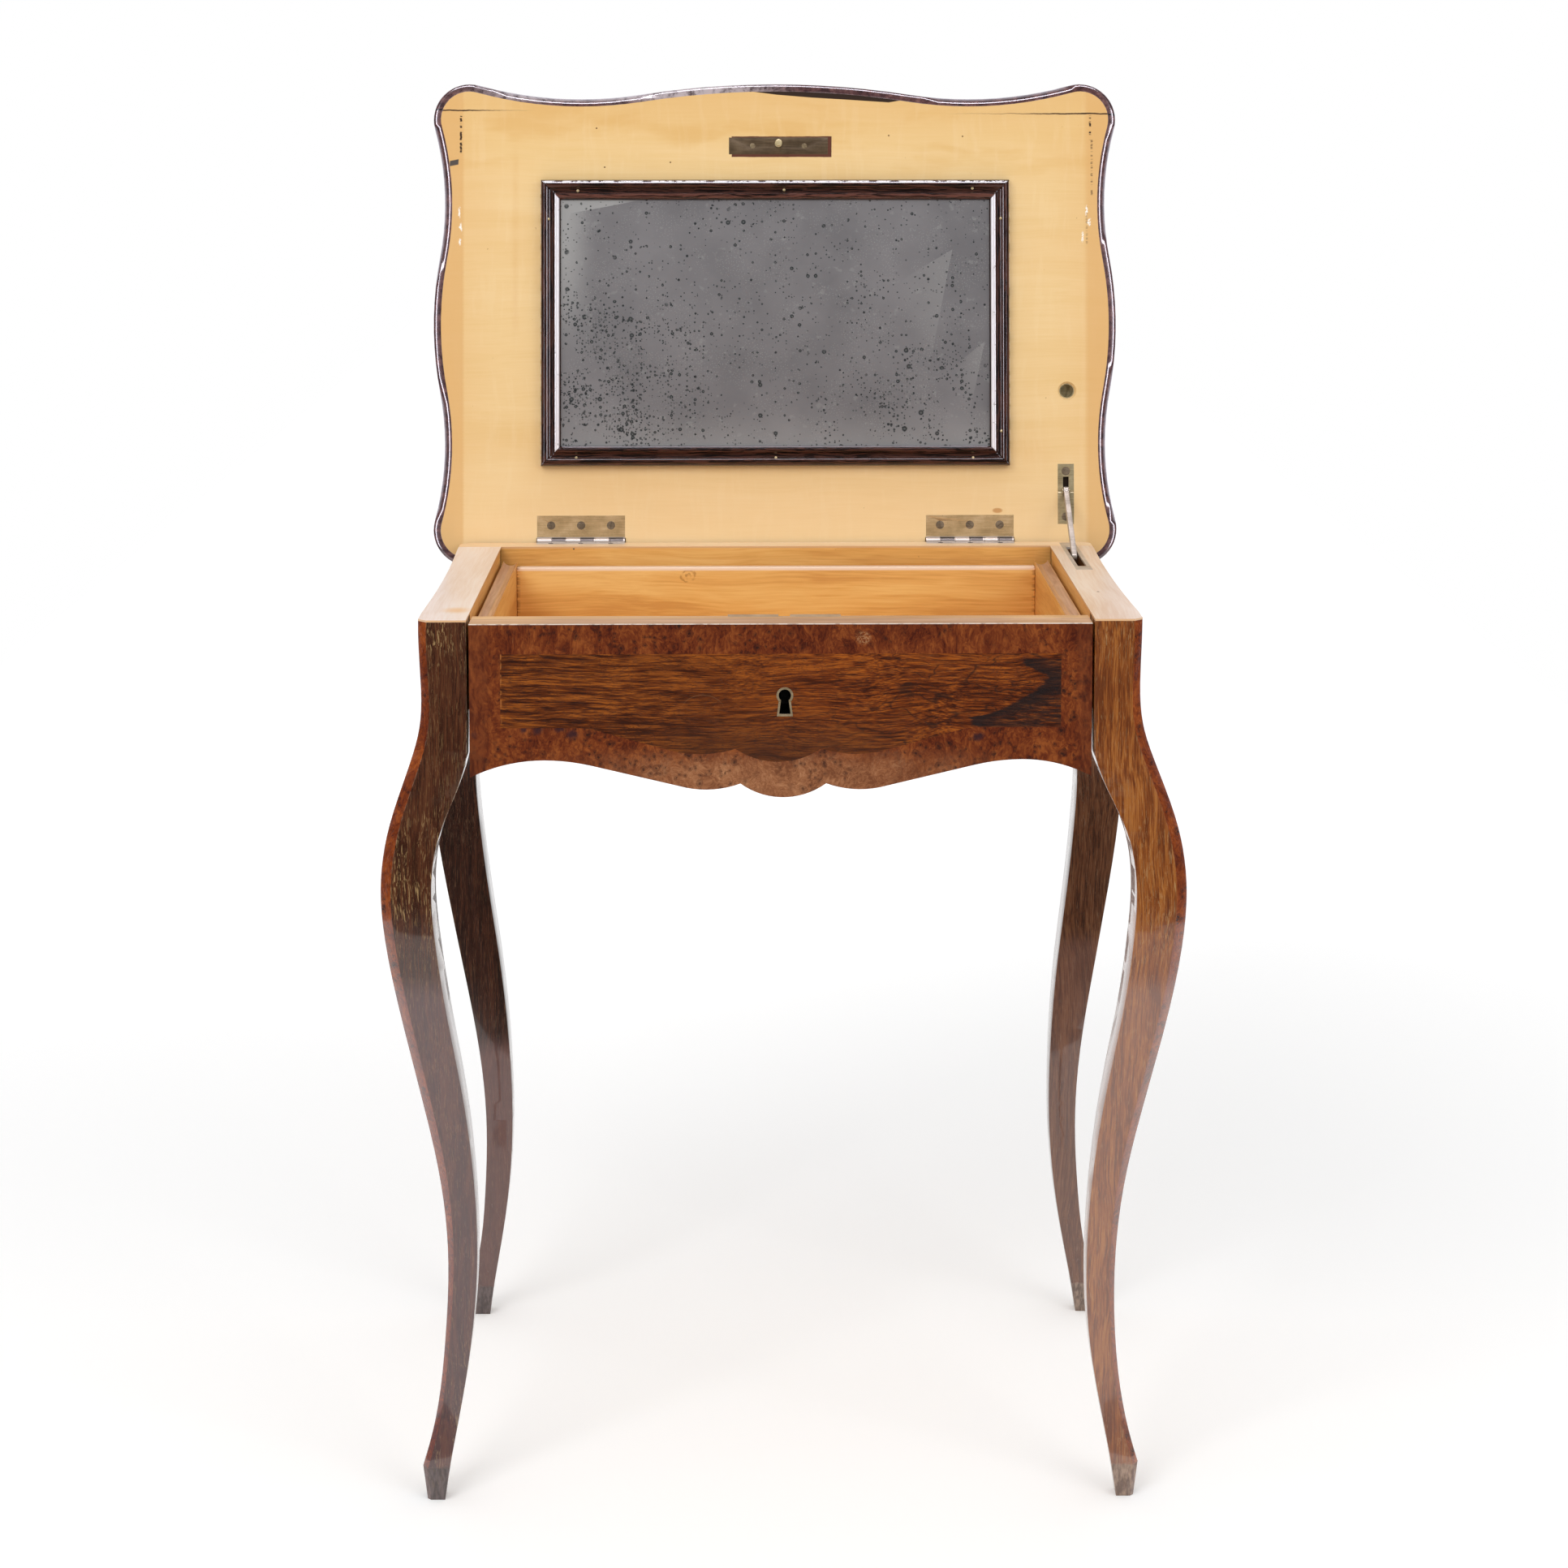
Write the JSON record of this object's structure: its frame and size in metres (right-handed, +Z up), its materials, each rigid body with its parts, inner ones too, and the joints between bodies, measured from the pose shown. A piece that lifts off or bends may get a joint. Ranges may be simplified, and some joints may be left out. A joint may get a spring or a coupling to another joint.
{
  "type": "poudreuse dressing table",
  "caption": "Small dressing table on curved legs, with a shaped lid that opens on a framed mirror and a drawer behind a veneered front.",
  "frame": {"origin": "on the floor, below the middle of the whole table with its lid standing open", "axes": "+X to the right of someone who faces the drawer front, +Y to the back, +Z up"},
  "size_m": [0.618, 0.4808, 1.1039],
  "materials": {
    "dark_rosewood": "french polished dark veneer",
    "field_rosewood": "french polished reddish veneer",
    "burr": "french polished burr veneer",
    "walnut": "waxed",
    "pale_maple": "waxed",
    "golden_maple": "waxed",
    "sycamore": "varnished",
    "beech": "bare",
    "ebonised": "gloss black",
    "silvered_glass": "silvered, foxed",
    "aged_brass": "aged",
    "steel": "worn bright",
    "dark_steel": "dark with age"
  },
  "bodies": {
    "case": {"leg_front_left": "dark_rosewood", "leg_front_right": "dark_rosewood", "leg_rear_left": "dark_rosewood", "leg_rear_right": "dark_rosewood", "side_apron_left": "dark_rosewood", "side_apron_right": "dark_rosewood", "back_apron": "dark_rosewood", "side_top_rail_left": "golden_maple", "side_top_rail_right": "golden_maple", "rail_cap_left": "pale_maple", "rail_cap_right": "pale_maple", "rail_cap_rear": "pale_maple", "drawer_runner_left": "beech", "drawer_runner_right": "beech", "drawer_stops": "beech", "hinge_case_leaf_left": "aged_brass", "hinge_case_leaf_right": "aged_brass", "hinge_pin_left": "dark_steel", "hinge_pin_right": "dark_steel", "hinge_case_screws": "dark_steel", "stay_slot_plate": "steel"},
    "drawer": {"drawer_front_core": "walnut", "drawer_front_field": "field_rosewood", "drawer_front_band": "burr", "escutcheon": "aged_brass", "drawer_side_left": "golden_maple", "drawer_side_right": "golden_maple", "drawer_back": "golden_maple", "drawer_bottom": "golden_maple", "lock_case": "dark_steel", "lock_top_plate": "steel"},
    "lock_bolt": {"lock_bolt": "dark_steel"},
    "lid": {"lid_panel": "sycamore", "lid_clamp_left": "sycamore", "lid_clamp_right": "sycamore", "lid_edge_moulding": "dark_rosewood", "lid_top_field": "field_rosewood", "lid_top_band": "burr", "mirror_moulding_bottom": "ebonised", "mirror_moulding_right": "ebonised", "mirror_moulding_top": "ebonised", "mirror_moulding_left": "ebonised", "mirror_backing": "beech", "mirror_glass": "silvered_glass", "strike_plate": "aged_brass", "strike_stud": "aged_brass", "strike_screws": "dark_steel", "hinge_lid_leaf_left": "aged_brass", "hinge_lid_leaf_right": "aged_brass", "hinge_lid_screws": "dark_steel", "stay_lid_plate": "aged_brass", "stay_lid_screws": "aged_brass", "stay_pin": "dark_steel", "socket_cup": "aged_brass"},
    "stay_arm": {"stay_arm": "steel"}
  },
  "joints": [
    {"name": "lid_hinge", "type": "hinge", "parent": "case", "child": "lid", "pos_m": [0, 0.17667, 0.7002], "axis": [1, 0, 0], "range_deg": [0, 96.5]},
    {"name": "drawer_slide", "type": "slide", "parent": "case", "child": "drawer", "axis": [0, -1, 0], "range_m": [0, 0.24]},
    {"name": "lock_bolt_slide", "type": "slide", "parent": "drawer", "child": "lock_bolt", "axis": [1, 0, 0], "range_m": [0, 0.007]},
    {"name": "stay_swing", "type": "hinge", "parent": "lid", "child": "stay_arm", "pos_m": [0.258, 0.18086, 0.74401], "axis": [1, 0, 0], "range_deg": [-115.01, 0]}
  ],
  "couplings": [
    {"joint": "stay_swing", "follows": "lid_hinge", "ratio": -1.1917}
  ]
}
